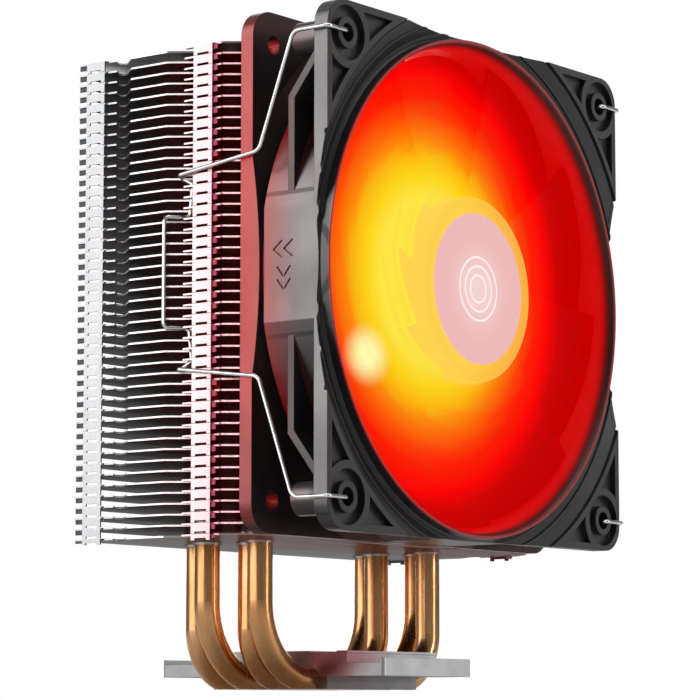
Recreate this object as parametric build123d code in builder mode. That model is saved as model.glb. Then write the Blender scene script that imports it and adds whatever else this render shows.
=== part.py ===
from build123d import *
from math import cos, radians, sin
import os

# A single-tower processor cooler with a 120 mm fan held on by two wire clips.
# Frame: +Z up, the fan faces -Y, the origin is the centre of the contact face.

# ---- driving dimensions (mm) ----
# base block
BLOCK_LENGTH = 35.6          # along X, between the pipe bends
BLOCK_FOOT_WIDTH = 34.8      # along Y, at the contact face
FOOT_HEIGHT = 3.0
WING_SPAN = 68.0             # along Y, tip to tip
WING_TOP = 6.1
RIM_TOP = 7.25
RIM_WIDTH = 1.1
BODY_WIDTH = 46.4            # along Y, above the wings
BODY_TOP = 9.0
BRACKET_HOLE_X = 22.0
BRACKET_HOLE_Y = 57.0
BRACKET_HOLE_RADIUS = 1.25

# heat pipes
PIPE_RADIUS = 3.0
PIPE_WALL = 0.45
PIPE_PITCH = 8.0             # along Y
PIPE_AXIS_HEIGHT = 2.2       # the underside is machined flat at z = 0
OUTER_LEG_X = 36.5
INNER_LEG_X = 30.1
BEND_START_X = 18.3
PIPE_TOP = 153.0

# fins
FIN_COUNT = 46
FIN_PITCH = 2.518
FIN_THICKNESS = 0.4
TOP_FIN_Z = 148.0            # upper face of the top fin
FIN_DEPTH = 50.0             # along Y
FIN_HALF_WIDTH = 60.0        # to the outer face of the folded tabs
EDGE_INSET = 0.7             # the plain edge stands this far inside the tabs
FIN_GAP = 0.12               # left between a folded tab and the fin below it
COLLAR_WALL = 0.45
SOLDER_GAP = 0.02
FIN_GROUP_SIZE = 11

# fan
FAN_SIZE = 120.0
FAN_DEPTH = 25.0
FAN_Z = 94.5                 # height of the fan's axis
FAN_FRONT_Y = -FIN_DEPTH / 2 - FAN_DEPTH
HOLE_SPACING = 105.0
HOLE_RADIUS = 2.15
CORNER_RADIUS = 6.5
FRONT_FLANGE = 3.8
REAR_FLANGE = 3.5
LIP_RADIUS = 59.4            # outer edge of the lip round the mouth
BORE_RADIUS = 57.6
BARREL_RADIUS = 61.4         # cut flat by the square outline at the middle of each side
BARREL_BACK = 18.1
HUB_RADIUS = 22.2
BLADE_TIP_RADIUS = 56.5
BLADE_COUNT = 9
BASE_PLATE_RADIUS = 26.0
SHAFT_RADIUS = 1.5
BEARING_CLEARANCE = 0.03

# wire clips
WIRE_RADIUS = 0.5
WIRE_BEND = 1.3

os.makedirs("parts", exist_ok=True)


def save(piece, name):
    """Label a finished piece and write its STEP file."""
    piece.part.label = name
    export_step(piece.part, f"parts/{name}.step")


# =====================================================================
# Base block and heat pipes
# =====================================================================

PIPE_ROWS = [(i - 1.5) * PIPE_PITCH for i in range(4)]

with BuildPart() as base_block:
    with BuildSketch(Plane.YZ) as profile:
        with Locations((0, FOOT_HEIGHT / 2)):
            Rectangle(BLOCK_FOOT_WIDTH, FOOT_HEIGHT)
        with Locations((0, (FOOT_HEIGHT + WING_TOP) / 2)):
            Rectangle(WING_SPAN, WING_TOP - FOOT_HEIGHT)
        with Locations((0, (FOOT_HEIGHT + BODY_TOP) / 2 - 0.25)):
            Rectangle(BODY_WIDTH, BODY_TOP - FOOT_HEIGHT - 0.5)
        with Locations((0, BODY_TOP - 0.3)):
            Rectangle(BODY_WIDTH + 0.5, 0.6)
        for side in (-1, 1):
            with Locations((side * (WING_SPAN - RIM_WIDTH) / 2, (FOOT_HEIGHT + RIM_TOP) / 2)):
                Rectangle(RIM_WIDTH, RIM_TOP - FOOT_HEIGHT)
    extrude(amount=BLOCK_LENGTH / 2, both=True)
    # a rim along one side of each wing locates the bracket
    rim_length = (WING_SPAN - BODY_WIDTH) / 2
    for side in (-1, 1):
        with Locations(((BLOCK_LENGTH - RIM_WIDTH) / 2, side * (WING_SPAN - rim_length) / 2, RIM_TOP - 1)):
            Box(RIM_WIDTH, rim_length, 2)
    # soft upright corners on the wings
    wing_corners = base_block.edges().filter_by(Axis.Z).group_by(lambda e: round(abs(e.center().Y), 1))[-1]
    fillet(wing_corners, 1.0)
    # shallow channels along the top
    with BuildSketch(Plane.XY.offset(BODY_TOP)):
        with GridLocations(0, 32.2, 1, 2):
            Rectangle(BLOCK_LENGTH + 2, 8)
    extrude(amount=-0.3, mode=Mode.SUBTRACT)
    # grooves that the pipes are pressed into, open at the contact face
    with BuildSketch(Plane.YZ):
        with Locations(*[(y, PIPE_AXIS_HEIGHT) for y in PIPE_ROWS]):
            Circle(PIPE_RADIUS + SOLDER_GAP)
    extrude(amount=BLOCK_LENGTH, both=True, mode=Mode.SUBTRACT)
    # tapped holes for the brackets
    with BuildSketch(Plane.XY.offset(WING_TOP)):
        with GridLocations(BRACKET_HOLE_X, BRACKET_HOLE_Y, 2, 2):
            Circle(BRACKET_HOLE_RADIUS)
    extrude(amount=-(WING_TOP - FOOT_HEIGHT), mode=Mode.SUBTRACT)
save(base_block, "base_block")


def leg_positions(row):
    """X of a pipe's two legs: alternate pipes are shifted so that the legs stand staggered."""
    if row % 2 == 0:
        return -OUTER_LEG_X, INNER_LEG_X
    return -INNER_LEG_X, OUTER_LEG_X


for row, pipe_y in enumerate(PIPE_ROWS):
    left_x, right_x = leg_positions(row)
    left_bend = abs(left_x) - BEND_START_X
    right_bend = right_x - BEND_START_X
    with BuildLine() as route:
        FilletPolyline(
            (left_x, pipe_y, PIPE_TOP - PIPE_RADIUS),
            (left_x, pipe_y, PIPE_AXIS_HEIGHT),
            (right_x, pipe_y, PIPE_AXIS_HEIGHT),
            (right_x, pipe_y, PIPE_TOP - PIPE_RADIUS),
            radius=(left_bend, right_bend),
        )
    # the sealed space inside, flattened where the pipe crosses the base
    with BuildPart() as vapour_space:
        with BuildSketch(Plane(origin=route.line @ 0, z_dir=route.line % 0)):
            Circle(PIPE_RADIUS - PIPE_WALL)
        sweep(path=route.line)
        with Locations((0, pipe_y, PIPE_WALL - 5)):
            Box(120, 4 * PIPE_RADIUS, 10, mode=Mode.SUBTRACT)
    with BuildPart() as heat_pipe:
        with BuildSketch(Plane(origin=route.line @ 0, z_dir=route.line % 0)):
            Circle(PIPE_RADIUS)
        sweep(path=route.line)
        # both ends are drawn down to a sealed, pinched tip
        for leg_x in (left_x, right_x):
            with BuildSketch(Plane(origin=(leg_x, pipe_y, PIPE_TOP - PIPE_RADIUS), x_dir=(1, 0, 0), z_dir=(0, -1, 0))):
                with BuildLine():
                    Polyline((0, 0), (PIPE_RADIUS, 0))
                    RadiusArc((PIPE_RADIUS, 0), (1.1, 2.0), -2.4)
                    Polyline((1.1, 2.0), (0.8, PIPE_RADIUS), (0, PIPE_RADIUS), (0, 0))
                make_face()
            revolve(axis=Axis((leg_x, pipe_y, 0), (0, 0, 1)))
        # machined flat with the contact face
        with Locations((0, pipe_y, -5)):
            Box(120, 4 * PIPE_RADIUS, 10, mode=Mode.SUBTRACT)
        add(vapour_space.part, mode=Mode.SUBTRACT)
    save(heat_pipe, f"heat_pipe_{row + 1}")

# =====================================================================
# Fins
# =====================================================================

PLAIN_EDGE = FIN_HALF_WIDTH - EDGE_INSET
TAB_THICKNESS = 0.4
TAB_WIDTH = 5.6
SLOT_HEIGHT = 0.5
EAR_OVERLAP = 0.3
EAR_INSET = 0.35
FRONT_EAR = 1.6
FRONT_TAB_Y = -13.55         # middle of the folded tab near the fan
REAR_TAB_Y = 19.75
TONGUE_TIP_Y = -8.0          # the tongue that holds the wire clip
POCKET_Y = -10.5
POCKET_X = 55.6
POCKET_MOUTH_Y = -7.2
KINK_Y = -2.0
NOTCH_FRONT_Y = 9.2
NOTCH_REAR_Y = 13.8
REAR_EAR = FIN_DEPTH / 2 - REAR_TAB_Y - TAB_WIDTH / 2 + EAR_OVERLAP

LEG_POINTS = [(x, y) for row, y in enumerate(PIPE_ROWS) for x in leg_positions(row)]


def fin_side(side):
    """Outline of one side of a fin from front to back; side is -1 or 1."""
    front_tab = FRONT_TAB_Y - TAB_WIDTH / 2
    rear_tab = REAR_TAB_Y - TAB_WIDTH / 2
    points = [
        (55.0, -FIN_DEPTH / 2),
        (PLAIN_EDGE + 0.2, -19.1),
        (PLAIN_EDGE, front_tab - 0.6),
        (FIN_HALF_WIDTH, front_tab),
        (FIN_HALF_WIDTH, TONGUE_TIP_Y),
        (FIN_HALF_WIDTH - 1.2, TONGUE_TIP_Y),
        (FIN_HALF_WIDTH - 1.2, POCKET_Y),
        (POCKET_X, POCKET_Y),
        (POCKET_X, POCKET_MOUTH_Y),
        (PLAIN_EDGE, KINK_Y),
        (PLAIN_EDGE, NOTCH_FRONT_Y),
        (55.3, 13.9),
        (55.1, 15.2),
        (56.2, 15.6),
        (PLAIN_EDGE - 0.2, NOTCH_REAR_Y),
        (PLAIN_EDGE, rear_tab - 0.8),
        (FIN_HALF_WIDTH, rear_tab),
        (FIN_HALF_WIDTH, FIN_DEPTH / 2),
    ]
    return [(side * x, y) for x, y in points]


def make_fin(tab_drop, collar_drop):
    """One fin with its upper face at z = 0, its tabs and pipe collars pointing down."""
    with BuildPart() as fin:
        with BuildSketch():
            with BuildLine():
                Polyline(*fin_side(-1), *reversed(fin_side(1)), close=True)
            make_face()
            with Locations(*LEG_POINTS):
                Circle(PIPE_RADIUS + SOLDER_GAP, mode=Mode.SUBTRACT)
        extrude(amount=-FIN_THICKNESS)
        # collars drawn out of the sheet round each pipe
        with BuildSketch():
            with Locations(*LEG_POINTS):
                Circle(PIPE_RADIUS + COLLAR_WALL)
                Circle(PIPE_RADIUS + SOLDER_GAP, mode=Mode.SUBTRACT)
        extrude(amount=-(FIN_THICKNESS + collar_drop))
        for side in (-1, 1):
            tab_x = side * (FIN_HALF_WIDTH - TAB_THICKNESS / 2)
            for tab_y in (FRONT_TAB_Y, REAR_TAB_Y):
                # the folded tab, with a shallow slot in its lower edge
                with Locations((tab_x, tab_y, -(FIN_THICKNESS + tab_drop) / 2)):
                    Box(TAB_THICKNESS, TAB_WIDTH, FIN_THICKNESS + tab_drop)
                with Locations((tab_x, tab_y, -(FIN_THICKNESS + tab_drop))):
                    Box(TAB_THICKNESS, TAB_WIDTH - 2.2, 2 * SLOT_HEIGHT, mode=Mode.SUBTRACT)
                # an ear, set a little inwards, hangs from the sheet at the tab's outer end
                away, ear_length = (-1, FRONT_EAR) if tab_y < 0 else (1, REAR_EAR)
                ear_y = tab_y + away * (TAB_WIDTH / 2 - EAR_OVERLAP + ear_length / 2)
                ear_height = FIN_THICKNESS / 4 + tab_drop * 0.55
                with Locations((tab_x - side * EAR_INSET, ear_y, -0.75 * FIN_THICKNESS - ear_height / 2)):
                    Box(TAB_THICKNESS, ear_length, ear_height)
    return fin.part


FULL_DROP = FIN_PITCH - FIN_THICKNESS - FIN_GAP
standard_fin = make_fin(FULL_DROP, FULL_DROP)


def fin_level(index):
    """Height of a fin's upper face, counted down from the top fin."""
    return TOP_FIN_Z - index * FIN_PITCH


with BuildPart() as fin_top:
    with Locations((0, 0, fin_level(0))):
        add(standard_fin)
save(fin_top, "fin_top")

for group, group_name in enumerate(("upper", "upper_middle", "lower_middle", "lower")):
    first = 1 + group * FIN_GROUP_SIZE
    with BuildPart() as fin_group:
        for index in range(first, first + FIN_GROUP_SIZE):
            with Locations((0, 0, fin_level(index))):
                add(standard_fin)
    save(fin_group, f"fins_{group_name}")

short_fin = make_fin(1.0, 0.5)
with BuildPart() as fin_bottom:
    with Locations((0, 0, fin_level(FIN_COUNT - 1))):
        add(short_fin)
save(fin_bottom, "fin_bottom")

# =====================================================================
# Fan frame
# =====================================================================

FAN_AXIS = Axis((0, 0, FAN_Z), (0, 1, 0))
# section plane through the fan's axis: local x is depth behind the front face, local y is radius
FAN_SECTION = Plane(origin=(0, FAN_FRONT_Y, FAN_Z), x_dir=(0, 1, 0), z_dir=(1, 0, 0))


def fan_plane(depth):
    """Plane square to the fan's axis, `depth` behind the front face, facing the front."""
    return Plane(origin=(0, FAN_FRONT_Y + depth, FAN_Z), x_dir=(1, 0, 0), z_dir=(0, -1, 0))


def ring_section(inner, outer, front, back):
    """Rectangle in the fan's section plane that turns into a ring."""
    with Locations(((front + back) / 2, (inner + outer) / 2)):
        Rectangle(back - front, outer - inner)


def corners():
    """The four screw-hole positions of the fan."""
    return GridLocations(HOLE_SPACING, HOLE_SPACING, 2, 2)


REAR_FLANGE_FRONT = FAN_DEPTH - REAR_FLANGE
BASE_PLATE_FRONT = 21.2
RIB_DEPTH = 10.9             # middle of the side rib, behind the front face
RIB_THICKNESS = 1.8
RIB_HALF_LENGTH = 38.0
RIB_HEIGHT = 59.2            # distance of its outer face from the fan's axis
LIP_THICKNESS = 0.4
RELIEF_RADIUS = 59.2         # foot of the groove between the barrel and the rear flange
FLANGE_CONE_RADIUS = 65.2
STRUT_WIDTH = 4.2
POCKET_BORDER = 1.7
MARK_STROKE = 0.35           # the engraved marks on the left side
MARK_DEPTH = 0.3
MARK_LENGTH = 2.3
MARK_HALF_WIDTH = 1.8


def chevron():
    """An open chevron with its tip at the sketch's origin."""
    with BuildSketch() as mark:
        with BuildLine():
            Polyline((MARK_LENGTH, MARK_HALF_WIDTH), (0, 0), (MARK_LENGTH, -MARK_HALF_WIDTH))
            offset(amount=MARK_STROKE / 2, kind=Kind.INTERSECTION)
        make_face()
    return mark.sketch



with BuildPart() as fan_frame:
    # two square flanges joined by the barrel
    with BuildSketch(fan_plane(0)):
        RectangleRounded(FAN_SIZE, FAN_SIZE, CORNER_RADIUS)
    extrude(amount=-FRONT_FLANGE)
    with BuildSketch(fan_plane(REAR_FLANGE_FRONT)):
        RectangleRounded(FAN_SIZE, FAN_SIZE, CORNER_RADIUS)
    extrude(amount=-REAR_FLANGE)
    with BuildSketch(FAN_SECTION):
        with BuildLine():
            Polyline(
                (0, 0),
                (0, BARREL_RADIUS),
                (BARREL_BACK, BARREL_RADIUS),
                (BARREL_BACK, RELIEF_RADIUS),
                (BARREL_BACK + 1, RELIEF_RADIUS),
                (REAR_FLANGE_FRONT, FLANGE_CONE_RADIUS),
                (FAN_DEPTH, FLANGE_CONE_RADIUS),
                (FAN_DEPTH, 0),
                close=True,
            )
        make_face()
    revolve(axis=FAN_AXIS)
    # side ribs: a strip that runs along the barrel and turns in to the front flange
    for turn in range(4):
        with BuildSketch(
            Plane(
                origin=(0, FAN_FRONT_Y, FAN_Z),
                x_dir=(0, 1, 0),
                z_dir=(cos(radians(90 * turn)), 0, sin(radians(90 * turn))),
            )
        ):
            with BuildLine() as rib_line:
                Polyline(
                    (FRONT_FLANGE - 1, -RIB_HALF_LENGTH - 10.5),
                    (RIB_DEPTH, -RIB_HALF_LENGTH),
                    (RIB_DEPTH, RIB_HALF_LENGTH),
                    (FRONT_FLANGE - 1, RIB_HALF_LENGTH + 10.5),
                )
                offset(amount=RIB_THICKNESS / 2, kind=Kind.INTERSECTION)
            make_face()
        extrude(amount=RIB_HEIGHT)
    # screw bosses behind the front flange
    with BuildSketch(fan_plane(FRONT_FLANGE)):
        with corners():
            Circle(3.9)
    extrude(amount=-9.5)
    # everything stays inside the square outline
    with BuildSketch(fan_plane(-1)):
        RectangleRounded(FAN_SIZE, FAN_SIZE, CORNER_RADIUS)
    extrude(amount=-(FAN_DEPTH + 2), mode=Mode.INTERSECT)
    # flared mouth and bore
    with BuildSketch(FAN_SECTION):
        with BuildLine():
            mouth = LIP_RADIUS - LIP_THICKNESS
            Polyline((FAN_DEPTH + 1, 0), (-1, 0), (-1, mouth), (0, mouth))
            Spline((0, mouth), (1.8, 58.15), (6.0, BORE_RADIUS), tangents=((0.35, -0.8), (1, 0)))
            Polyline(
                (6.0, BORE_RADIUS),
                (FAN_DEPTH - 5, BORE_RADIUS),
                (FAN_DEPTH + 1, BORE_RADIUS + 1.0),
                (FAN_DEPTH + 1, 0),
            )
        make_face()
    revolve(axis=FAN_AXIS, mode=Mode.SUBTRACT)
    # the face dips towards the lip like a funnel, with two fine beads and a hairline on the way
    with BuildSketch(FAN_SECTION):
        with BuildLine():
            Polyline(
                (-1, LIP_RADIUS),
                (0, LIP_RADIUS),
                (2.2, 59.7),
                (2.9, 60.4),
                (2.9, 60.7),
                (2.5, 60.8),
                (2.5, 61.1),
                (3.0, 61.3),
                (2.2, 62.9),
                (1.7, 63.1),
                (1.7, 63.4),
                (2.0, 63.5),
                (0.6, 66.3),
                (0.85, 66.4),
                (0.85, 66.7),
                (0, 66.8),
                (-1, 66.8),
                close=True,
            )
        make_face()
    revolve(axis=FAN_AXIS, mode=Mode.SUBTRACT)
    # moulded pockets beside each screw hole
    with BuildSketch(fan_plane(0)):
        RectangleRounded(FAN_SIZE - 2 * POCKET_BORDER, FAN_SIZE - 2 * POCKET_BORDER, 5.0)
        Circle(68.2, mode=Mode.SUBTRACT)
        with corners():
            Circle(8.2, mode=Mode.SUBTRACT)
    extrude(amount=-1.5, mode=Mode.SUBTRACT)
    # ring groove and raised boss round each screw hole
    with BuildSketch(fan_plane(0)):
        with corners():
            Circle(6.3)
            Circle(3.6, mode=Mode.SUBTRACT)
    extrude(amount=-1.6, mode=Mode.SUBTRACT)
    with BuildSketch(fan_plane(-1)):
        with corners():
            Circle(HOLE_RADIUS)
    extrude(amount=-(FAN_DEPTH + 2), mode=Mode.SUBTRACT)
    # lightening pockets in the back of the rear flange
    with BuildSketch(fan_plane(FAN_DEPTH)):
        RectangleRounded(FAN_SIZE - 4, FAN_SIZE - 4, 4.5)
        Circle(67.0, mode=Mode.SUBTRACT)
        with corners():
            Circle(5.0, mode=Mode.SUBTRACT)
    extrude(amount=1.2, mode=Mode.SUBTRACT)
    # motor plate carried by four struts
    with BuildSketch(FAN_SECTION):
        with BuildLine():
            Polyline(
                (19.7, 25.0),
                (19.7, BASE_PLATE_RADIUS),
                (FAN_DEPTH, BASE_PLATE_RADIUS),
                (FAN_DEPTH, 18.6),
                (FAN_DEPTH - 0.3, 18.6),
                (FAN_DEPTH - 0.3, 0),
                (23.2, 0),
                (23.2, 5.0),
                (BASE_PLATE_FRONT, 5.0),
                (BASE_PLATE_FRONT, 25.0),
                close=True,
            )
        make_face()
    revolve(axis=FAN_AXIS)
    with BuildSketch(fan_plane(FAN_DEPTH)):
        with PolarLocations(0, 4, start_angle=20):
            with Locations((41.8, 0)):
                Rectangle(33.5, STRUT_WIDTH)
        # the strut that carries the lead is wider
        with PolarLocations(0, 1, start_angle=290):
            with Locations((41.8, 0)):
                Rectangle(33.5, STRUT_WIDTH + 4)
    extrude(amount=3.2)
    # channel and outlet for the lead
    with BuildSketch(fan_plane(FAN_DEPTH)):
        with PolarLocations(0, 1, start_angle=290):
            with Locations((44, 0)):
                Rectangle(48, 3.4)
    extrude(amount=1.8, mode=Mode.SUBTRACT)
    # air-flow and spin marks on the left side of the barrel; local x is depth, counted forwards
    with BuildSketch(Plane(origin=(-FAN_SIZE / 2, FAN_FRONT_Y, FAN_Z), x_dir=(0, -1, 0), z_dir=(-1, 0, 0))):
        with Locations((-12.3, 3.4), (-15.3, 3.4)):
            add(chevron())
        with Locations(Location((-12.4, -3.0), 90), Location((-12.4, -5.9), 90)):
            add(chevron())
        with Locations((-12.4, -3.0), (-12.4, -5.9)):
            Rectangle(0.4, 1.2, mode=Mode.SUBTRACT)
    extrude(amount=-MARK_DEPTH, mode=Mode.SUBTRACT)
save(fan_frame, "fan_frame")

# =====================================================================
# Impeller and the parts that turn with it
# =====================================================================

HUB_FRONT = 1.0              # depths below are measured back from the frame's front face
HUB_WALL = 1.6
HUB_BACK = 19.0
HUB_LABEL_RADIUS = 18.1
LABEL_THICKNESS = 0.25
LABEL_RECESS = 0.3
BLADE_ROOT_PLANE = 14.0
BLADE_MIDDLE_PLANE = 38.0
BLADE_TIP_PLANE = 57.5
YOKE_RADIUS = 20.5
YOKE_WALL = 0.8
YOKE_FRONT = 2.6
MAGNET_INNER = 17.7
BUSH_RADIUS = 4.5
SHAFT_FRONT = 2.8
SHAFT_BACK = 22.55
GROOVE_DEPTH_POSITION = 19.6
PRESS_GAP = 0.02


def blade_section(radius, front, back, width, skew, camber, thickness):
    """Curved strip in a plane square to the blade's radius; the leading edge is at the front."""
    lead = Vector(front, skew + width / 2)
    trail = Vector(back, skew - width / 2)
    chord = trail - lead
    # unit vector towards the suction side, which faces forward
    bulge = Vector(chord.Y, -chord.X).normalized()
    crown = (lead + trail) * 0.5 + bulge * camber
    step = bulge * thickness
    with BuildSketch(Plane(origin=(radius, FAN_FRONT_Y, FAN_Z), x_dir=(0, 1, 0), z_dir=(1, 0, 0))) as section:
        with BuildLine():
            ThreePointArc(lead, crown, trail)
            Line(trail, trail - step * 0.6)
            ThreePointArc(trail - step * 0.6, crown - step, lead - step * 0.6)
            Line(lead - step * 0.6, lead)
        make_face()
    return section.sketch


with BuildPart() as blade:
    loft(
        [
            blade_section(BLADE_ROOT_PLANE, 4.2, 17.5, 30.0, 0.0, 2.2, 1.9),
            blade_section(BLADE_MIDDLE_PLANE, 4.6, 18.1, 56.0, 4.0, 2.8, 1.5),
            blade_section(BLADE_TIP_PLANE, 5.0, 18.4, 74.0, 10.0, 3.4, 1.1),
        ]
    )
    with BuildSketch(FAN_SECTION):
        ring_section(HUB_RADIUS - HUB_WALL / 2, BLADE_TIP_RADIUS, 1, 24)
    revolve(axis=FAN_AXIS, mode=Mode.INTERSECT)

with BuildPart() as impeller:
    with BuildSketch(FAN_SECTION):
        with BuildLine():
            Polyline(
                (HUB_FRONT + HUB_WALL, 0),
                (HUB_FRONT + LABEL_RECESS, 0),
                (HUB_FRONT + LABEL_RECESS, HUB_LABEL_RADIUS + 0.15),
                (HUB_FRONT, HUB_LABEL_RADIUS + 0.15),
                (HUB_FRONT, HUB_RADIUS - 1.3),
            )
            RadiusArc((HUB_FRONT, HUB_RADIUS - 1.3), (HUB_FRONT + 1.3, HUB_RADIUS), 1.3)
            Polyline(
                (HUB_FRONT + 1.3, HUB_RADIUS),
                (HUB_BACK, HUB_RADIUS),
                (HUB_BACK, HUB_RADIUS - HUB_WALL),
                (HUB_FRONT + HUB_WALL, HUB_RADIUS - HUB_WALL),
                (HUB_FRONT + HUB_WALL, 0),
            )
        make_face()
    revolve(axis=FAN_AXIS)
    for i in range(BLADE_COUNT):
        add(blade.part.rotate(FAN_AXIS, 360 / BLADE_COUNT * i))
save(impeller, "impeller")

with BuildPart() as hub_label:
    with BuildSketch(fan_plane(HUB_FRONT + LABEL_RECESS)):
        Circle(HUB_LABEL_RADIUS)
    extrude(amount=LABEL_THICKNESS)
save(hub_label, "hub_label")

with BuildPart() as rotor_yoke:
    with BuildSketch(FAN_SECTION):
        ring_section(BUSH_RADIUS + PRESS_GAP, YOKE_RADIUS, YOKE_FRONT, YOKE_FRONT + YOKE_WALL)
        ring_section(YOKE_RADIUS - YOKE_WALL, YOKE_RADIUS, YOKE_FRONT, 18.0)
    revolve(axis=FAN_AXIS)
save(rotor_yoke, "rotor_yoke")

with BuildPart() as ring_magnet:
    with BuildSketch(FAN_SECTION):
        ring_section(MAGNET_INNER, YOKE_RADIUS - YOKE_WALL - PRESS_GAP, 5.0, 17.5)
    revolve(axis=FAN_AXIS)
save(ring_magnet, "ring_magnet")

with BuildPart() as shaft_bush:
    with BuildSketch(FAN_SECTION):
        ring_section(SHAFT_RADIUS + PRESS_GAP, BUSH_RADIUS, YOKE_FRONT + PRESS_GAP, 6.4)
    revolve(axis=FAN_AXIS)
    chamfer(shaft_bush.faces().sort_by(Axis.Y)[-1].outer_wire().edges(), 0.6)
save(shaft_bush, "shaft_bush")

with BuildPart() as shaft:
    with BuildSketch(fan_plane(SHAFT_FRONT)):
        Circle(SHAFT_RADIUS)
    extrude(amount=-(SHAFT_BACK - SHAFT_FRONT))
    fillet(shaft.faces().sort_by(Axis.Y)[-1].edges(), 0.5)
    with BuildSketch(FAN_SECTION):
        ring_section(SHAFT_RADIUS - 0.3, SHAFT_RADIUS + 1, GROOVE_DEPTH_POSITION - 0.25, GROOVE_DEPTH_POSITION + 0.25)
    revolve(axis=FAN_AXIS, mode=Mode.SUBTRACT)
save(shaft, "shaft")

with BuildPart() as retaining_ring:
    with BuildSketch(FAN_SECTION):
        ring_section(
            SHAFT_RADIUS - 0.3 + PRESS_GAP, 2.7, GROOVE_DEPTH_POSITION - 0.2, GROOVE_DEPTH_POSITION + 0.2
        )
    revolve(axis=FAN_AXIS)
    with Locations((0, FAN_FRONT_Y + GROOVE_DEPTH_POSITION, FAN_Z + 2)):
        Box(1.2, 1, 4, mode=Mode.SUBTRACT)
save(retaining_ring, "retaining_ring")

# =====================================================================
# Bearing and motor parts that stay with the frame
# =====================================================================

TUBE_RADIUS = 5.0
TUBE_WALL = 1.0
BEARING_RADIUS = TUBE_RADIUS - TUBE_WALL - PRESS_GAP
CORE_FRONT = 8.5
CORE_BACK = 14.5
CORE_RADIUS = 16.9
POLE_COUNT = 4
NECK_WIDTH = 3.6
INSULATOR_THICKNESS = 0.9
WINDING = 1.7
COIL_INNER_RADIUS = 7.8
COIL_OUTER_RADIUS = 13.9
BOARD_FRONT = 19.95
BOARD_THICKNESS = 1.2
BOARD_RADIUS = 24.6
PIN_CIRCLE = 10.5
LED_CIRCLE = 23.3
LED_LENGTH = 3.0

with BuildPart() as bearing_tube:
    with BuildSketch(FAN_SECTION):
        ring_section(TUBE_RADIUS - TUBE_WALL, TUBE_RADIUS - PRESS_GAP, 6.8, 23.2)
    revolve(axis=FAN_AXIS)
save(bearing_tube, "bearing_tube")

with BuildPart() as sleeve_bearing:
    with BuildSketch(FAN_SECTION):
        ring_section(SHAFT_RADIUS + BEARING_CLEARANCE, BEARING_RADIUS, 8.0, 18.6)
    revolve(axis=FAN_AXIS)
    for end in (0, -1):
        chamfer(sleeve_bearing.faces().sort_by(Axis.Y)[end].outer_wire().edges(), 0.4)
save(sleeve_bearing, "sleeve_bearing")

with BuildPart() as oil_seal:
    with BuildSketch(FAN_SECTION):
        ring_section(SHAFT_RADIUS + 0.25, BEARING_RADIUS, 7.0, 7.7)
    revolve(axis=FAN_AXIS)
save(oil_seal, "oil_seal")

with BuildPart() as thrust_washer:
    with BuildSketch(fan_plane(23.2)):
        Circle(BEARING_RADIUS - 0.08)
    extrude(amount=0.6)
save(thrust_washer, "thrust_washer")


def pole_outline(shoe_radius):
    """Cross-section of the four-pole stator: a hub ring, four necks and four curved shoes."""
    shoe_inner = 14.6
    with BuildSketch() as outline:
        # each shoe spans 74 degrees of a ring
        Circle(shoe_radius)
        Circle(shoe_inner, mode=Mode.SUBTRACT)
        with PolarLocations(0, POLE_COUNT, start_angle=45):
            with Locations((shoe_radius, 0)):
                Rectangle(2 * shoe_radius, 2 * shoe_inner * sin(radians(8)), mode=Mode.SUBTRACT)
        Circle(7.4)
        with PolarLocations(0, POLE_COUNT):
            with Locations((shoe_inner / 2 + 0.2, 0)):
                Rectangle(shoe_inner + 0.4, NECK_WIDTH)
        Circle(TUBE_RADIUS, mode=Mode.SUBTRACT)
    return outline.sketch


with BuildPart() as stator_core:
    with BuildSketch(fan_plane(CORE_FRONT)):
        add(pole_outline(CORE_RADIUS))
    extrude(amount=-(CORE_BACK - CORE_FRONT))
save(stator_core, "stator_core")

with BuildPart() as stator_insulator_front:
    with BuildSketch(fan_plane(CORE_FRONT)):
        add(pole_outline(CORE_RADIUS - 0.9))
    extrude(amount=INSULATOR_THICKNESS)
save(stator_insulator_front, "stator_insulator_front")

with BuildPart() as stator_insulator_rear:
    with BuildSketch(fan_plane(CORE_BACK)):
        add(pole_outline(CORE_RADIUS - 0.9))
        # arms that carry the terminal pins between the poles
        with PolarLocations(0, POLE_COUNT, start_angle=45):
            with Locations((8.8, 0)):
                Rectangle(6.0, 2.2)
        with PolarLocations(PIN_CIRCLE, POLE_COUNT, start_angle=45):
            Circle(0.3 + PRESS_GAP, mode=Mode.SUBTRACT)
    extrude(amount=-INSULATOR_THICKNESS)
save(stator_insulator_rear, "stator_insulator_rear")

with BuildPart() as terminal_pins:
    with BuildSketch(fan_plane(CORE_BACK + 0.1)):
        with PolarLocations(PIN_CIRCLE, POLE_COUNT, start_angle=45):
            Circle(0.3)
    extrude(amount=-(BOARD_FRONT + BOARD_THICKNESS - CORE_BACK - 0.2))
save(terminal_pins, "terminal_pins")

COIL_MIDDLE_DEPTH = (CORE_FRONT + CORE_BACK) / 2
COIL_WINDOW_DEPTH = CORE_BACK - CORE_FRONT + 2 * INSULATOR_THICKNESS + 2 * PRESS_GAP
COIL_WINDOW_WIDTH = NECK_WIDTH + 2 * PRESS_GAP

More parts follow.
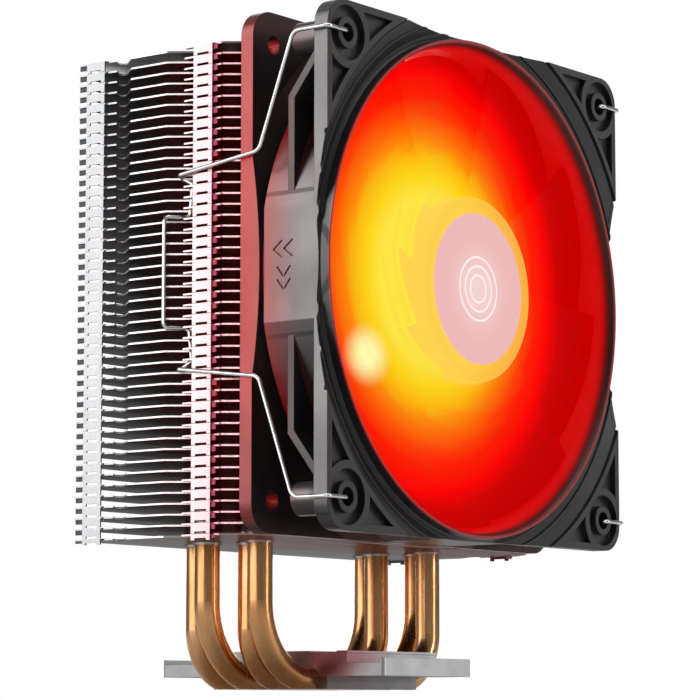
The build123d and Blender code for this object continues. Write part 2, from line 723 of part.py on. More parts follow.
for pole in range(POLE_COUNT):
    turn = radians(360 / POLE_COUNT * pole)
    outward = Vector(cos(turn), 0, sin(turn))
    middle = Vector(0, FAN_FRONT_Y + COIL_MIDDLE_DEPTH, FAN_Z) + outward * COIL_INNER_RADIUS
    with BuildPart() as coil:
        with BuildSketch(Plane(origin=middle, x_dir=(0, 1, 0), z_dir=outward)):
            RectangleRounded(COIL_WINDOW_DEPTH + 2 * WINDING, COIL_WINDOW_WIDTH + 2 * WINDING, WINDING)
            Rectangle(COIL_WINDOW_DEPTH, COIL_WINDOW_WIDTH, mode=Mode.SUBTRACT)
        extrude(amount=COIL_OUTER_RADIUS - COIL_INNER_RADIUS)
    save(coil, f"coil_{pole + 1}")

with BuildPart() as circuit_board:
    with BuildSketch(fan_plane(BOARD_FRONT)):
        Circle(BOARD_RADIUS)
        Circle(TUBE_RADIUS + 0.1, mode=Mode.SUBTRACT)
        with PolarLocations(PIN_CIRCLE, POLE_COUNT, start_angle=45):
            Circle(0.3 + PRESS_GAP, mode=Mode.SUBTRACT)
    extrude(amount=-BOARD_THICKNESS)
save(circuit_board, "circuit_board")


def board_component(x, z, width, height, thickness, turn=0):
    """A packaged component standing on the front of the circuit board, with softened top edges."""
    with BuildPart() as component:
        with BuildSketch(fan_plane(BOARD_FRONT)):
            with Locations(Location((x, z), turn)):
                Rectangle(width, height)
        extrude(amount=thickness)
        chamfer(component.faces().sort_by(Axis.Y)[0].edges(), 0.15)
    return component


save(board_component(-12.0, -4.5, 3.9, 4.9, 1.2), "driver_chip")
save(board_component(12.6, -12.6, 3.0, 1.6, 1.1, 45), "hall_sensor")
save(board_component(3.2, -13.5, 2.0, 1.25, 1.2), "board_capacitor")

with BuildPart() as leds:
    with BuildSketch(fan_plane(BOARD_FRONT)):
        with PolarLocations(LED_CIRCLE, 4, start_angle=45):
            Rectangle(1.3, LED_LENGTH)
    extrude(amount=1.0)
save(leds, "leds")

with BuildPart() as rear_label:
    with BuildSketch(fan_plane(FAN_DEPTH - LABEL_RECESS)):
        Circle(18.4)
    extrude(amount=-LABEL_THICKNESS)
save(rear_label, "rear_label")

# =====================================================================
# Wire clips
# =====================================================================

CLIP_LIFT = 0.7              # the handle stands this far above the fan's axis
SIDE_X = FIN_HALF_WIDTH + WIRE_RADIUS + 0.3
HOOK_X = HOLE_SPACING / 2 + 0.7
HOOK_Z = HOLE_SPACING / 2 + 0.2
HOOK_FRONT_Y = FAN_FRONT_Y - WIRE_RADIUS - 0.1

# half of a clip's route, from the hook in the fan's corner hole to the handle:
# distance out, Y, distance from the clip's middle, and the radius of the bend there
CLIP_HALF = [
    (HOOK_X, FAN_FRONT_Y + 4.5, HOOK_Z, 0),
    (HOOK_X, HOOK_FRONT_Y, HOOK_Z, WIRE_BEND),
    (SIDE_X, HOOK_FRONT_Y, HOOK_Z, WIRE_BEND),
    (SIDE_X, FAN_FRONT_Y + 9.2, HOOK_Z, 2 * WIRE_BEND),
    (SIDE_X, FAN_FRONT_Y + 19.0, 25.7, 2 * WIRE_BEND),
    (SIDE_X, -7.5, 22.6, 0.7),
    (58.4, -6.2, 22.3, 0.7),
    (57.9, -9.0, 20.7, 0.7),
    (57.6, -7.9, 12.9, WIRE_BEND),
    (62.5, -4.3, 12.9, WIRE_BEND),
]


def clip_points(side, end):
    """Points and bend radii of half a clip; side is -1 (left) or 1, end is -1 (lower) or 1."""
    return [
        ((side * out, y, FAN_Z + end * away + (0 if away == HOOK_Z else CLIP_LIFT)), bend)
        for out, y, away, bend in CLIP_HALF
    ]


for side, side_name in ((-1, "left"), (1, "right")):
    route_points = clip_points(side, 1) + clip_points(side, -1)[::-1]
    with BuildPart() as wire_clip:
        with BuildLine() as route:
            FilletPolyline(
                *[point for point, bend in route_points],
                radius=[bend for point, bend in route_points[1:-1]],
            )
        with BuildSketch(Plane(origin=route.line @ 0, z_dir=route.line % 0)):
            Circle(WIRE_RADIUS)
        sweep()
    save(wire_clip, f"wire_clip_{side_name}")
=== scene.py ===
from math import cos, pi, radians, sin

import bpy
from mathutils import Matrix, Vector


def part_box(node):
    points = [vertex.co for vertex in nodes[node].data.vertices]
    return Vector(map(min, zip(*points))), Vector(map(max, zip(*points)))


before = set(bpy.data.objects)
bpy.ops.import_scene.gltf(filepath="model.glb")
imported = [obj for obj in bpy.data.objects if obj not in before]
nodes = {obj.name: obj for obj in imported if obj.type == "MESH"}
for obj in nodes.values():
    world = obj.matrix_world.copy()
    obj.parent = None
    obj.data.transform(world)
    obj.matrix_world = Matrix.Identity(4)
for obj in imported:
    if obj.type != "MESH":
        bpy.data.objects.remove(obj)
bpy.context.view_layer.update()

MM = 0.001

# ---- places worked out from the frame ----
fan_low, fan_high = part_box("fan_frame")
FAN_CENTRE = (fan_low + fan_high) / 2
FAN_FRONT = fan_low.y
FAN_DEPTH = fan_high.y - fan_low.y
FAN_HALF = (fan_high.x - fan_low.x) / 2
BORE_RADIUS = FAN_HALF - 2.4 * MM
LIP_RADIUS = FAN_HALF - 0.6 * MM       # outer edge of the lip round the mouth
RIB_FACE = FAN_HALF - 0.8 * MM         # outer faces of the ribs beside the barrel

label_low, label_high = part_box("hub_label")
LABEL_RADIUS = (label_high.x - label_low.x) / 2
yoke_low, yoke_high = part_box("rotor_yoke")
HUB_WALL = 1.7 * MM                    # plastic round the yoke
HUB_RADIUS = (yoke_high.x - yoke_low.x) / 2 + HUB_WALL

fin_low, fin_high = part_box("fins_upper")
FIN_FRONT = fin_low.y
EAR_FACE = fin_high.x - 0.35 * MM      # the small ears' faces, a little behind the tabs' faces

base_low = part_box("base_block")[0]
FOOT_TOP = base_low.z + 3 * MM         # the wings stand out above this
FLOOR_Z = base_low.z - 12 * MM         # low enough for the camera, which looks up at the base


# =====================================================================
# Shader helpers
# =====================================================================

# most of a noise's values lie between these
NOISE_LOW = 0.3
NOISE_HIGH = 0.7


class Paint:
    """A material under construction, with short ways to add and join nodes."""

    def __init__(self, name, **surface):
        self.material = bpy.data.materials.new(name)
        self.material.use_nodes = True
        self.tree = self.material.node_tree
        self.shader = self.tree.nodes["Principled BSDF"]
        self.look(**surface)

    def set(self, node, socket, value):
        """Link a socket, or set its constant; a colour is three numbers."""
        target = node.inputs[socket]
        if isinstance(value, bpy.types.NodeSocket):
            self.tree.links.new(value, target)
        elif target.type == "RGBA":
            target.default_value = (*value, 1)
        else:
            target.default_value = value

    def look(self, **surface):
        """Set or link the surface's sockets; an underscore stands for a space in their names."""
        for socket, value in surface.items():
            self.set(self.shader, socket.replace("_", " "), value)

    def add(self, kind, inputs=(), out=0, **settings):
        """Add a node, set it up and return one of its outputs."""
        node = self.tree.nodes.new("ShaderNode" + kind)
        for key, value in settings.items():
            setattr(node, key, value)
        for socket, value in dict(inputs).items():
            self.set(node, socket, value)
        return node.outputs[out]

    # ---- numbers ----

    def math(self, operation, a, b=0.0):
        return self.add("Math", {0: a, 1: b}, operation=operation)

    def times(self, first, *others):
        """Product of two or more numbers."""
        product = first
        for other in others:
            product = self.math("MULTIPLY", product, other)
        return product

    def away(self, value, middle):
        """How far a number is from another, on either side."""
        return self.math("ABSOLUTE", self.math("SUBTRACT", value, middle))

    def fade(self, value, start, end, low=0.0, high=1.0):
        """Smooth step from low to high as value goes from start to end."""
        inputs = {"Value": value, "From Min": start, "From Max": end, "To Min": low, "To Max": high}
        return self.add("MapRange", inputs, interpolation_type="SMOOTHSTEP")

    def band(self, value, middle, inner, outer):
        """1 within inner of the middle, and fading to 0 at outer."""
        return self.fade(self.away(value, middle), outer, inner)

    def spread(self, noise, low, high):
        """A number that follows a noise from low to high."""
        return self.fade(noise, NOISE_LOW, NOISE_HIGH, low, high)

    # ---- colours ----

    def mix(self, factor, first, second):
        """Mix two colours."""
        node = self.tree.nodes.new("ShaderNodeMix")
        node.data_type = "RGBA"
        self.set(node, 0, factor)
        self.set(node, 6, first)
        self.set(node, 7, second)
        return node.outputs[2]

    def vary(self, noise, first, second):
        """A colour that follows a noise from one colour to another."""
        return self.mix(self.spread(noise, 0.0, 1.0), first, second)

    def ramp(self, factor, stops):
        """Colour ramp from a list of (position, colour)."""
        node = self.tree.nodes.new("ShaderNodeValToRGB")
        self.tree.links.new(factor, node.inputs[0])
        elements = node.color_ramp.elements
        while len(elements) < len(stops):
            elements.new(0.5)
        for element, (position, colour) in zip(elements, stops):
            element.position = position
            element.color = (*colour, 1)
        return node.outputs[0]

    # ---- places and directions ----

    def place(self):
        """Position on the piece, in metres, in the object's own frame."""
        return self.add("TexCoord", out="Object")

    def world_place(self):
        """Position in the row frame, which a turning piece moves through."""
        return self.add("NewGeometry", out="Position")

    def facing(self):
        """Direction that the surface faces, in the object's own frame."""
        return self.add("TexCoord", out="Normal")

    def part(self, vector, axis):
        """The X, Y or Z part of a position or a direction."""
        return self.add("SeparateXYZ", {0: vector}, out=axis)

    def distance_from(self, place, centre, stretch=(1, 1, 1)):
        """Distance from a point, with each axis stretched first."""
        offset = self.add("VectorMath", {0: place, 1: centre}, operation="SUBTRACT")
        scaled = self.add("VectorMath", {0: offset, 1: stretch}, operation="MULTIPLY")
        return self.add("VectorMath", {0: scaled}, out="Value", operation="LENGTH")

    def fan_radius(self, place):
        """Distance from the fan's axis."""
        return self.distance_from(place, FAN_CENTRE, (1, 0, 1))

    # ---- texture and relief ----

    def noise(self, scale, stretch=(1, 1, 1), detail=3.0, rough=0.5, at=None):
        """Noise between 0 and 1; scale is in cycles per metre before stretching."""
        mapped = self.add("Mapping", {"Vector": at or self.place(), "Scale": stretch})
        inputs = {"Vector": mapped, "Scale": scale, "Detail": detail, "Roughness": rough}
        return self.add("TexNoise", inputs)

    def bump(self, height, strength, distance, normal=None):
        """Normal bent by a height, of which 1 is the distance given."""
        inputs = {"Height": height, "Strength": strength, "Distance": distance}
        if normal is not None:
            inputs["Normal"] = normal
        return self.add("Bump", inputs)

    def soft_edge(self, radius):
        """Normal that rounds sharp edges over the given radius."""
        return self.add("Bevel", {"Radius": radius}, samples=4)

    def finish(self, *targets):
        """Give the material to CAD nodes and pieces."""
        for target in targets:
            piece = nodes[target] if isinstance(target, str) else target
            if not piece.material_slots:
                piece.data.materials.append(self.material)
            for material_slot in piece.material_slots:
                material_slot.link = "OBJECT"
                material_slot.material = self.material


def nodes_starting(*starts):
    """Names of the CAD nodes that start with one of the given words."""
    return [name for name in nodes if name.startswith(starts)]


def darker(colour, share):
    """A colour with only this share of its light."""
    return tuple(share * part for part in colour)


# relief of a metal's and of a plastic's grain
METAL_RELIEF = 0.05 * MM
PLASTIC_RELIEF = 0.02 * MM


# =====================================================================
# Fins, base and pipes
# =====================================================================

# painted red light from the fan on the fins, by depth behind the stack's front: none at the first, full at
# the second
PINK_EDGES = (32 * MM, 4 * MM)
RED_FACES = (37 * MM, 21 * MM)
RED_REFLECTIONS = (43 * MM, 17 * MM)
RED_TRACE = (39 * MM, 19 * MM)
LIT_FRONT = (9 * MM, 0.0)
# the same from the middle of the stack to its rear, where the tabs are painted darker as shade
SHADED_REAR_TABS = (33 * MM, 42 * MM)
REAR_TAB_SHADE = 0.5
TRACE_STRENGTH = 0.012
# painted glow for the fan's light on the stack's front, by distance from the fan's axis
LIT_RADII = (58 * MM, 30 * MM)


def fin_edge_colour(paint, place, depth, marks):
    """Bright edges and tabs: pink near the fan, painted darker as shade at the rear, and painted shade on
    the ears.
    """
    bright = paint.mix(paint.fade(marks, 0.35, NOISE_HIGH), (0.84, 0.85, 0.87), (0.92, 0.92, 0.93))
    # painted red light from the fan turns the edges pink near it
    red_light_share = paint.fade(depth, *PINK_EDGES)
    edge = paint.mix(red_light_share, bright, (0.80, 0.50, 0.52))
    edge = paint.mix(paint.fade(depth, *SHADED_REAR_TABS, 0.0, REAR_TAB_SHADE), edge, (0.14, 0.14, 0.14))
    sideways = paint.away(paint.part(place, "X"), 0.0)
    # painted shade on the ears, with painted red light on them near the fan
    shaded_ear = paint.band(sideways, EAR_FACE, 0.15 * MM, 0.25 * MM)
    return paint.mix(shaded_ear, edge, paint.mix(red_light_share, (0.07, 0.07, 0.07), (0.30, 0.05, 0.08)))


def darken_gaps(paint, depth, flatness, gap_shade):
    """Painted shade: keep flat faces dark at a grazing angle, where metal turns white; painted red
    reflection near the fan.
    """
    grazing = paint.mix(paint.fade(depth, *RED_REFLECTIONS), (0.34, 0.32, 0.32), (0.20, 0.05, 0.05))
    paint.look(Specular_Tint=paint.mix(paint.times(flatness, gap_shade), (1, 1, 1), grazing))


def light_fins(paint, place, depth, flatness, red, gap_shade):
    """Painted glow for the fan's light on the front of the stack, and a painted trace of it deep in the
    gaps.
    """
    inside = paint.fade(paint.fan_radius(place), *LIT_RADII)
    front = paint.times(inside, paint.fade(depth, *LIT_FRONT), red)
    trace = paint.times(flatness, paint.fade(depth, *RED_TRACE, 0.0, TRACE_STRENGTH), gap_shade)
    paint.look(
        Emission_Color=paint.mix(inside, (1.0, 0.02, 0.01), (1.0, 0.20, 0.01)),
        Emission_Strength=paint.math("ADD", front, trace),
    )


def paint_fins(name, targets, flat, kept=1.0, red=0.0, gap_shade=0.0):
    """Rolled aluminium sheet; flat is the colour of its flat faces, painted dark as shade inside the
    stack.

    kept is the share of that colour that is left under the painted red light near the fan, red is how
    strongly the fan's painted light shows, and gap_shade is how dark the painted shade in the gaps is.
    """
    paint = Paint(name, Metallic=1.0)
    place = paint.place()
    depth = paint.math("SUBTRACT", paint.part(place, "Y"), FIN_FRONT)
    flatness = paint.fade(paint.away(paint.part(paint.facing(), "Z"), 0.0), 0.4, 0.6)
    lines = paint.noise(60, (0.5, 40, 40), detail=4, rough=0.6)
    marks = paint.noise(90, detail=2)
    edge = fin_edge_colour(paint, place, depth, marks)
    # painted red light from the fan on the flat faces near it
    red_part, green_part, blue_part = darker(flat, kept)
    red_lit_face = (red_part, 0.3 * green_part, 0.3 * blue_part)
    face = paint.vary(marks, darker(flat, 0.7), flat)
    face = paint.mix(paint.fade(depth, *RED_FACES, 0.0, red), face, red_lit_face)
    paint.look(
        Base_Color=paint.mix(flatness, edge, face),
        Roughness=paint.spread(lines, 0.26, 0.40),
        Normal=paint.bump(lines, 0.25, METAL_RELIEF),
    )
    if gap_shade:
        darken_gaps(paint, depth, flatness, gap_shade)
        light_fins(paint, place, depth, flatness, red, gap_shade)
    paint.finish(*targets)


# the middle of the base's painted red reflection, between the pipes
BASE_REFLECTION = Vector((base_low.x, -18 * MM, 8 * MM))


def paint_base():
    """Machined aluminium with cutter lines along the pipes, a painted red reflection in the middle and
    painted shade on the foot.
    """
    paint = Paint("base_aluminium", Metallic=1.0)
    place = paint.place()
    lines = paint.noise(80, (0.3, 25, 25), detail=5, rough=0.65)
    marks = paint.noise(120, detail=3)
    colour = paint.vary(marks, (0.56, 0.56, 0.57), (0.68, 0.68, 0.69))
    # painted red reflection: between the pipes the metal mirrors the fan
    off = paint.distance_from(place, BASE_REFLECTION, (0.6, 1, 1.2))
    colour = paint.mix(paint.fade(off, 14 * MM, 3 * MM, 0.0, 0.75), colour, (0.50, 0.09, 0.12))
    # painted shade: the foot is in the wings' shade
    height = paint.part(place, "Z")
    shade = paint.fade(height, FOOT_TOP + 0.2 * MM, FOOT_TOP - 0.2 * MM, 0.0, 0.7)
    colour = paint.mix(shade, colour, (0.10, 0.09, 0.09))
    paint.look(
        Base_Color=colour,
        Roughness=paint.spread(lines, 0.30, 0.46),
        Normal=paint.bump(lines, 0.3, METAL_RELIEF, paint.soft_edge(0.15 * MM)),
    )
    paint.finish("base_block")


# copper's colour from its darkest tarnish to its cleanest patches
COPPER_STOPS = [
    (0.25, (0.60, 0.25, 0.09)),
    (0.50, (0.80, 0.40, 0.17)),
    (0.75, (0.92, 0.54, 0.27)),
]


def paint_pipes():
    """Drawn copper: fine lines along the pipe and cloudy tarnish."""
    paint = Paint("copper", Metallic=1.0)
    lines = paint.noise(150, (12, 12, 0.4), detail=4, rough=0.6)
    clouds = paint.noise(55, (1, 1, 0.6), detail=4, rough=0.55)
    paint.look(
        Base_Color=paint.ramp(clouds, COPPER_STOPS),
        Roughness=paint.spread(lines, 0.16, 0.30),
        Normal=paint.bump(lines, 0.2, METAL_RELIEF),
    )
    paint.finish(*nodes_starting("heat_pipe"))


# =====================================================================
# Small metal parts
# =====================================================================

# how a grain is stretched: a large number makes it fine along that axis
EVEN = (1, 1, 1)
TURNED = (1, 20, 1)
STACKED = (1, 30, 1)
WOUND = (14, 1, 14)


def paint_metal(name, targets, colour, roughness, grain=0.2, scale=400, stretch=EVEN):
    """A plain metal with a fine grain that varies its gloss and colour a little."""
    paint = Paint(name, Metallic=1.0)
    speck = paint.noise(scale, stretch, detail=4, rough=0.6)
    paint.look(
        Base_Color=paint.vary(speck, darker(colour, 0.8), colour),
        Roughness=paint.spread(speck, 0.75 * roughness, 1.25 * roughness),
        Normal=paint.bump(speck, grain, METAL_RELIEF),
    )
    paint.finish(*targets)


def paint_small_metals():
    """Spring wire, turned brass, bearing bronze, steels and windings."""
    wires = ["wire_clip_left", "wire_clip_right", "retaining_ring"]
    brasses = ["bearing_tube", "shaft_bush"]
    coils = nodes_starting("coil")
    paint_metal("spring_wire", wires, (0.93, 0.92, 0.92), 0.22)
    paint_metal("brass", brasses, (0.80, 0.60, 0.30), 0.25, scale=300, stretch=TURNED)
    paint_metal("sintered_bronze", ["sleeve_bearing"], (0.55, 0.38, 0.22), 0.5, grain=0.6, scale=2500)
    paint_metal(
        "electrical_steel", ["stator_core"], (0.40, 0.41, 0.43), 0.4, grain=0.8, scale=100, stretch=STACKED
    )
    paint_metal("yoke_steel", ["rotor_yoke"], (0.58, 0.59, 0.61), 0.32, grain=0.3, scale=500)
    paint_metal("shaft_steel", ["shaft"], (0.74, 0.74, 0.75), 0.15, grain=0.15, scale=300, stretch=STACKED)
    paint_metal("tinned_steel", ["terminal_pins"], (0.74, 0.74, 0.72), 0.3, scale=800)
    paint_metal("winding", coils, (0.72, 0.32, 0.14), 0.3, grain=0.9, scale=150, stretch=WOUND)


# =====================================================================
# Fan frame
# =====================================================================

PLASTIC_SPECULAR = 0.5
RIB_DULLNESS = 0.3
BORE_DULLNESS = 0.47
# painted red glow on the sides: its strength, and the height at which it is reddest
SIDE_STRENGTH = 0.28
RED_MIDDLE = FAN_CENTRE.z + 8 * MM     # height at which the sides are reddest


def side_glow(paint, place, back):
    """Painted red glow for the light that comes round the back onto the sides, most at the rear and at
    mid-height.
    """
    height = paint.away(paint.part(place, "Z"), RED_MIDDLE)
    middle = paint.fade(height, 15 * MM, 68 * MM, 1.0, 0.35)
    facing_out = paint.fade(paint.away(paint.part(paint.facing(), "X"), 0.0), 0.55, 0.95)
    return paint.times(paint.math("POWER", back, 2.2), middle, facing_out, SIDE_STRENGTH)


def bore_glow(paint, radius, depth, inside):
    """Painted red glow for the light in the bore, dying away towards the mouth, and a little on the lip's
    edge.
    """
    bore = paint.times(inside, paint.fade(depth, 0.5 * MM, 4.5 * MM, 0.12, 0.62))
    lip = paint.band(radius, LIP_RADIUS - 0.3 * MM, 0.3 * MM, 0.5 * MM)
    lip = paint.times(lip, paint.fade(depth, 0.5 * MM, 0.1 * MM, 0.0, 0.22))
    return paint.math("MAXIMUM", bore, lip)


def paint_frame():
    """Black moulded plastic with a painted red glow and painted red reflections from the back and in the
    bore.
    """
    paint = Paint("frame_plastic")
    place = paint.place()
    grain = paint.noise(5200, detail=2, rough=0.6)
    clouds = paint.noise(70, detail=3)
    radius = paint.fan_radius(place)
    depth = paint.math("SUBTRACT", paint.part(place, "Y"), FAN_FRONT)
    inside = paint.fade(radius, BORE_RADIUS + 0.8 * MM, BORE_RADIUS + 0.3 * MM)
    back = paint.fade(depth, 3 * MM, FAN_DEPTH - 1 * MM)
    # the ribs' outer faces are textured, and shine less
    sideways = paint.away(paint.part(place, "X"), FAN_CENTRE.x)
    rib = paint.band(sideways, RIB_FACE, 0.1 * MM, 0.2 * MM)
    dull = paint.math("ADD", paint.times(rib, RIB_DULLNESS), paint.times(inside, BORE_DULLNESS))
    # painted red reflections: reddening towards the back, and red in the bore
    red_reflection_tint = paint.mix(back, (1.0, 0.96, 0.94), (1.0, 0.22, 0.20))
    side = side_glow(paint, place, back)
    bore = bore_glow(paint, radius, depth, inside)
    paint.look(
        Base_Color=paint.vary(clouds, (0.016, 0.016, 0.017), (0.026, 0.026, 0.027)),
        Roughness=paint.spread(clouds, 0.34, 0.44),
        Specular_IOR_Level=paint.math("SUBTRACT", PLASTIC_SPECULAR, dull),
        Specular_Tint=paint.mix(inside, red_reflection_tint, (1.0, 0.05, 0.05)),
        Normal=paint.bump(grain, 0.35, PLASTIC_RELIEF, paint.soft_edge(0.25 * MM)),
        Emission_Color=(1.0, 0.001, 0.001),
        Emission_Strength=paint.math("MAXIMUM", side, bore),
    )
    paint.finish("fan_frame")


# =====================================================================
# Impeller and labels
# =====================================================================

# the painted glow's hot spot of light and its middle
HOT_SPOT = FAN_CENTRE + Vector((-31 * MM, 0, -18 * MM))
GLOW_CENTRE = FAN_CENTRE + Vector((-6 * MM, 0, 2 * MM))
GLOW_REACH = 60 * MM
# the glow is centred there at this depth, and leans this far to the right and up for each metre back
GLOW_PLANE = FAN_FRONT + 11 * MM
GLOW_LEAN = Vector((1.31, 0, 0.20))
# colour of the glow by nearness to its centre: 0 is GLOW_REACH away, 1 is the centre
GLOW_STOPS = [
    (0.0, (0.55, 0.0, 0.0)),
    (0.09, (0.62, 0.0, 0.0)),
    (0.17, (0.97, 0.0, 0.0)),
    (0.27, (0.98, 0.013, 0.0)),
    (0.33, (0.98, 0.053, 0.001)),
    (0.40, (0.98, 0.16, 0.002)),
    (0.45, (0.98, 0.27, 0.003)),
    (0.50, (0.98, 0.485, 0.005)),
    (0.58, (0.98, 0.68, 0.010)),
    (0.67, (0.99, 0.79, 0.060)),
]
STREAK_SHIFT = 5 * MM                  # how far a streak moves the glow's colours
HUB_SHARE = 0.7                        # how much of the hub's painted orange glow shows over the blades' glow


def paint_impeller():
    """Clear red plastic with a painted glow for the lamps behind it: yellow near them and red far away."""
    paint = Paint("impeller_plastic", Base_Color=(0.03, 0.0, 0.0), Specular_IOR_Level=0.03)
    place = paint.world_place()
    behind = paint.math("SUBTRACT", paint.part(place, "Y"), GLOW_PLANE)
    lean = paint.add("VectorMath", {0: GLOW_LEAN, "Scale": behind}, operation="SCALE")
    glow_place = paint.add("VectorMath", {0: place, 1: lean}, operation="SUBTRACT")
    radius = paint.fan_radius(place)
    swirl = paint.noise(70, detail=3)
    # streaks that follow circles round the axis
    along = paint.add("CombineXYZ", {0: paint.times(radius, 9.0), 1: paint.part(place, "X")})
    streak = paint.noise(42, detail=3, at=along)
    shift = paint.times(paint.math("SUBTRACT", streak, 0.5), STREAK_SHIFT)
    far = paint.math("ADD", paint.distance_from(glow_place, GLOW_CENTRE, (1, 0, 1)), shift)
    nearness = paint.math("SUBTRACT", 1.0, paint.math("DIVIDE", far, GLOW_REACH))
    glow = paint.ramp(nearness, GLOW_STOPS)
    spot = paint.fade(paint.distance_from(glow_place, HOT_SPOT, (0.8, 0, 1)), 8 * MM, 1.5 * MM)
    glow = paint.mix(spot, glow, (1.0, 0.97, 0.42))
    hub = paint.fade(radius, HUB_RADIUS + 1.2 * MM, HUB_RADIUS - 0.2 * MM)
    glow = paint.mix(paint.times(hub, HUB_SHARE), glow, (1.0, 0.60, 0.09))
    paint.look(
        Emission_Color=glow,
        Emission_Strength=paint.fade(streak, 0.25, NOISE_HIGH, 0.93, 1.0),
        Roughness=paint.spread(swirl, 0.30, 0.42),
        Normal=paint.bump(paint.noise(900), 0.1, PLASTIC_RELIEF),
    )
    paint.finish("impeller")


# the fine rings on the hub's label, as shares of its radius
RING_SHARES = (0.18, 0.30, 0.42)


def paint_hub_label():
    """Satin film with a painted glow for the light from behind, paler in the middle, and a few fine rings.
    """
    paint = Paint("hub_label_film", Base_Color=(0.62, 0.42, 0.41), Roughness=0.4)
    radius = paint.fan_radius(paint.place())
    middle = paint.fade(radius, 0.75 * LABEL_RADIUS, 0.1 * LABEL_RADIUS)
    glow = paint.mix(middle, (0.72, 0.36, 0.36), (0.78, 0.58, 0.57))
    for share in RING_SHARES:
        ring = paint.band(radius, share * LABEL_RADIUS, 0.16 * MM, 0.28 * MM)
        glow = paint.mix(ring, glow, (1.0, 0.97, 0.97))
    paint.look(
        Emission_Color=glow,
        Emission_Strength=0.72,
        Normal=paint.bump(paint.noise(2500, detail=2), 0.15, PLASTIC_RELIEF),
    )
    paint.finish("hub_label")


def paint_rear_label():
    """Plain grey satin film."""
    paint = Paint("rear_label_film", Roughness=0.45)
    fine = paint.noise(2500, detail=2)
    paint.look(
        Base_Color=paint.mix(fine, (0.50, 0.50, 0.51), (0.60, 0.60, 0.61)),
        Normal=paint.bump(fine, 0.15, PLASTIC_RELIEF),
    )
    paint.finish("rear_label")


# =====================================================================
# Inside the motor
# =====================================================================

TRACK_PITCH = 1.6 * MM


def paint_board():
    """Green solder mask with copper tracks under it, in rings with breaks."""
    paint = Paint("board_laminate", Roughness=0.3, Coat_Weight=0.4)
    turns = paint.times(paint.fan_radius(paint.place()), 2 * pi / TRACK_PITCH)
    rings = paint.fade(paint.math("SINE", turns), 0.3, 0.6)
    breaks = paint.fade(paint.noise(160, detail=0), 0.48, 0.52)
    track = paint.times(rings, breaks)
    paint.look(
        Base_Color=paint.mix(track, (0.012, 0.07, 0.03), (0.03, 0.16, 0.06)),
        Normal=paint.bump(track, 0.3, METAL_RELIEF),
    )
    paint.finish("circuit_board")


def paint_leds():
    """Clear resin over a lit die."""
    paint = Paint("led_lens", Base_Color=(0.9, 0.6, 0.3), Roughness=0.15, Coat_Weight=0.5)
    cloud = paint.noise(700, detail=1)
    glow = paint.mix(cloud, (1.0, 0.25, 0.05), (1.0, 0.75, 0.35))
    paint.look(Emission_Color=glow, Emission_Strength=4.0)
    paint.finish("leds")


def paint_plastic(name, targets, colour, roughness, grain=0.3, scale=1500):
    """A moulded plastic with a fine grain."""
    paint = Paint(name)
    speck = paint.noise(scale, detail=3)
    paint.look(
        Base_Color=paint.mix(speck, darker(colour, 0.82), colour),
        Roughness=paint.spread(speck, 0.8 * roughness, 1.15 * roughness),
        Normal=paint.bump(speck, grain, PLASTIC_RELIEF),
    )
    paint.finish(*targets)


def paint_small_plastics():
    """Insulators, seal, washer, magnet and components."""
    chips = ["driver_chip", "hall_sensor"]
    paint_plastic("insulator", nodes_starting("stator_insulator"), (0.80, 0.78, 0.72), 0.5)
    paint_plastic("seal_rubber", ["oil_seal"], (0.03, 0.03, 0.03), 0.7)
    paint_plastic("bearing_plastic", ["thrust_washer"], (0.82, 0.80, 0.74), 0.4)
    paint_plastic("magnet", ["ring_magnet"], (0.06, 0.06, 0.065), 0.6, grain=0.5, scale=3000)
    paint_plastic("component_plastic", chips, (0.025, 0.025, 0.027), 0.55, scale=4000)
    paint_plastic("capacitor_ceramic", ["board_capacitor"], (0.50, 0.36, 0.22), 0.4, scale=2000)


# =====================================================================
# Studio
# =====================================================================

FLOOR_SIZE = 12


def make_floor():
    """A wide pale floor."""
    bpy.ops.mesh.primitive_plane_add(size=FLOOR_SIZE, location=(0, 0, FLOOR_Z))
    floor = bpy.context.object
    floor.name = "studio_floor"
    paint = Paint("studio_floor", Roughness=0.6, Specular_IOR_Level=0.2)
    cloud = paint.noise(3, detail=2)
    paint.look(Base_Color=paint.mix(cloud, (0.86, 0.86, 0.86), (0.90, 0.90, 0.90)))
    paint.finish(floor)


# the point that the soft boxes aim at, in the middle of the fan and the fins
LIT_POINT = (fan_low + fin_high) / 2


def add_box(name, direction, size, power, only=(), distance=0.9):
    """A soft box in a given direction from the object, for all nodes or only some."""
    data = bpy.data.lights.new(name, "AREA")
    data.shape = "RECTANGLE"
    data.size, data.size_y = size
    data.energy = power
    lamp = bpy.data.objects.new(name, data)
    bpy.context.scene.collection.objects.link(lamp)
    towards = Vector(direction).normalized()
    lamp.location = LIT_POINT + towards * distance
    lamp.rotation_euler = (-towards).to_track_quat("-Z", "Y").to_euler()
    lamp.visible_camera = False
    if only:
        lit = bpy.data.collections.new(name + "_lit")
        for node in only:
            lit.objects.link(nodes[node])
        lamp.light_linking.receiver_collection = lit


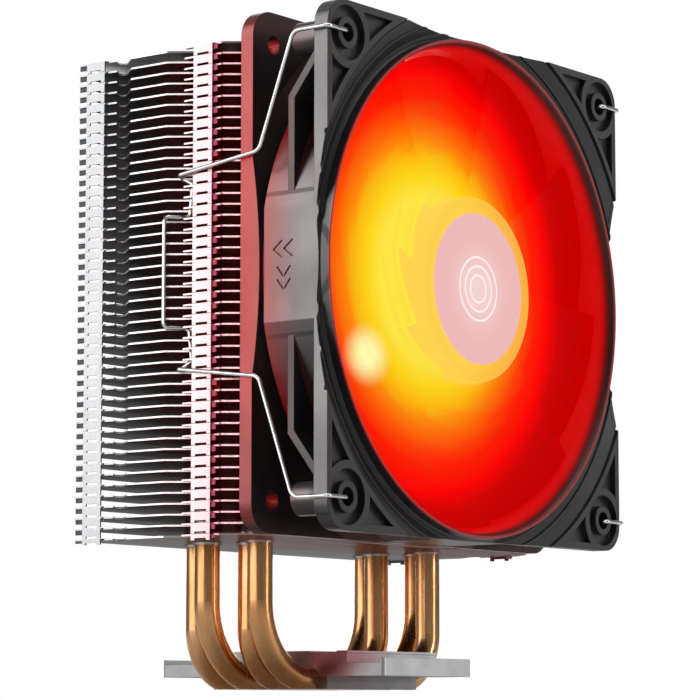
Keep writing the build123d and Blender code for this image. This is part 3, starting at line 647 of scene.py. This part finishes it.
def add_soft_boxes():
    """The frame, the metals and the base have key lights of their own, and three more light everything."""
    plastics = ["fan_frame"]
    base = ["base_block"]
    metals = nodes_starting("fin", "heat", "wire")
    edges = nodes_starting("fins_", "wire")
    add_box("plastic_key", (-0.80, 0.60, 0.22), (0.38, 1.2), 18, plastics)
    add_box("plastic_front", (0.78, -0.62, 0.15), (0.9, 0.9), 1.6, plastics + base, distance=1.0)
    add_box("metal_key", (-0.90, 0.40, 0.10), (1.1, 0.9), 5.6, metals)
    add_box("edge_light", (-0.83, -0.55, 0.12), (0.35, 0.35), 0.9, edges)
    add_box("base_key", (-0.85, 0.50, 0.10), (0.8, 0.9), 1.7, base)
    add_box("front_strip", (0.28, -0.95, 0.15), (0.12, 0.8), 1.8)
    add_box("top", (0.0, -0.1, 1.0), (0.9, 0.9), 4)
    add_box("back_fill", (0.75, 0.65, 0.35), (0.8, 0.8), 5, distance=1.1)


RED_LAMP_RADIUS = 37 * MM              # from the fan's axis
RED_LAMP_DEPTH = 20 * MM               # behind the fan's front
RED_LAMP_POWER = 0.05


def add_red_lamps():
    """Four red lamps behind the blades, whose light falls on the fins and the frame."""
    for quarter in range(4):
        angle = radians(45 + 90 * quarter)
        data = bpy.data.lights.new(f"red_lamp_{quarter + 1}", "POINT")
        data.energy = RED_LAMP_POWER
        data.color = (1.0, 0.05, 0.02)
        data.shadow_soft_size = 3 * MM
        lamp = bpy.data.objects.new(data.name, data)
        lamp.location = FAN_CENTRE + Vector((cos(angle), 0, sin(angle))) * RED_LAMP_RADIUS
        lamp.location.y = FAN_FRONT + RED_LAMP_DEPTH
        bpy.context.scene.collection.objects.link(lamp)


SEEN_STRENGTH = 1.0
FILL_STRENGTH = 0.16


def make_world():
    """White to the eye, and dimmer as a light, so that the soft boxes shape the metal."""
    world = bpy.data.worlds.new("studio")
    bpy.context.scene.world = world
    world.use_nodes = True
    tree = world.node_tree
    seen = tree.nodes["Background"]
    fill = tree.nodes.new("ShaderNodeBackground")
    for background, strength in ((seen, SEEN_STRENGTH), (fill, FILL_STRENGTH)):
        background.inputs["Color"].default_value = (1, 1, 1, 1)
        background.inputs["Strength"].default_value = strength
    path = tree.nodes.new("ShaderNodeLightPath")
    blend = tree.nodes.new("ShaderNodeMixShader")
    tree.links.new(path.outputs["Is Camera Ray"], blend.inputs[0])
    tree.links.new(fill.outputs[0], blend.inputs[1])
    tree.links.new(seen.outputs[0], blend.inputs[2])
    tree.links.new(blend.outputs[0], tree.nodes["World Output"].inputs["Surface"])


CAMERA_AZIMUTH = radians(-52.69)
CAMERA_ELEVATION = radians(-6.92)
CAMERA_DISTANCE = 665.3 * MM
CAMERA_LENS = 153.4
CAMERA_TARGET = FAN_CENTRE + Vector((-52.0, -12.7, -19.74)) * MM


def make_camera():
    """Low, from the left of the fan, with a long lens."""
    data = bpy.data.cameras.new("camera")
    data.lens = CAMERA_LENS
    data.sensor_width = 36
    data.clip_start = 0.01
    camera = bpy.data.objects.new("camera", data)
    bpy.context.scene.collection.objects.link(camera)
    level = cos(CAMERA_ELEVATION)
    back = Vector((sin(CAMERA_AZIMUTH) * level, -cos(CAMERA_AZIMUTH) * level, sin(CAMERA_ELEVATION)))
    camera.location = CAMERA_TARGET + back * CAMERA_DISTANCE
    camera.rotation_euler = (-back).to_track_quat("-Z", "Y").to_euler()
    bpy.context.scene.camera = camera


# the inner fins' and the bottom fin's flat faces are painted dark as shade; the top fin's are bare
# aluminium
paint_fins("fin_aluminium", nodes_starting("fins_"), (0.020, 0.018, 0.018), kept=0.6, red=0.7, gap_shade=1.0)
paint_fins("top_fin_aluminium", ["fin_top"], (0.80, 0.80, 0.81))
paint_fins("bottom_fin_aluminium", ["fin_bottom"], (0.08, 0.08, 0.08), red=0.2, gap_shade=0.6)
paint_base()
paint_pipes()
paint_small_metals()
paint_frame()
paint_impeller()
paint_hub_label()
paint_rear_label()
paint_board()
paint_leds()
paint_small_plastics()
make_floor()
add_soft_boxes()
add_red_lamps()
make_world()
make_camera()
bpy.context.scene.view_settings.view_transform = "Standard"
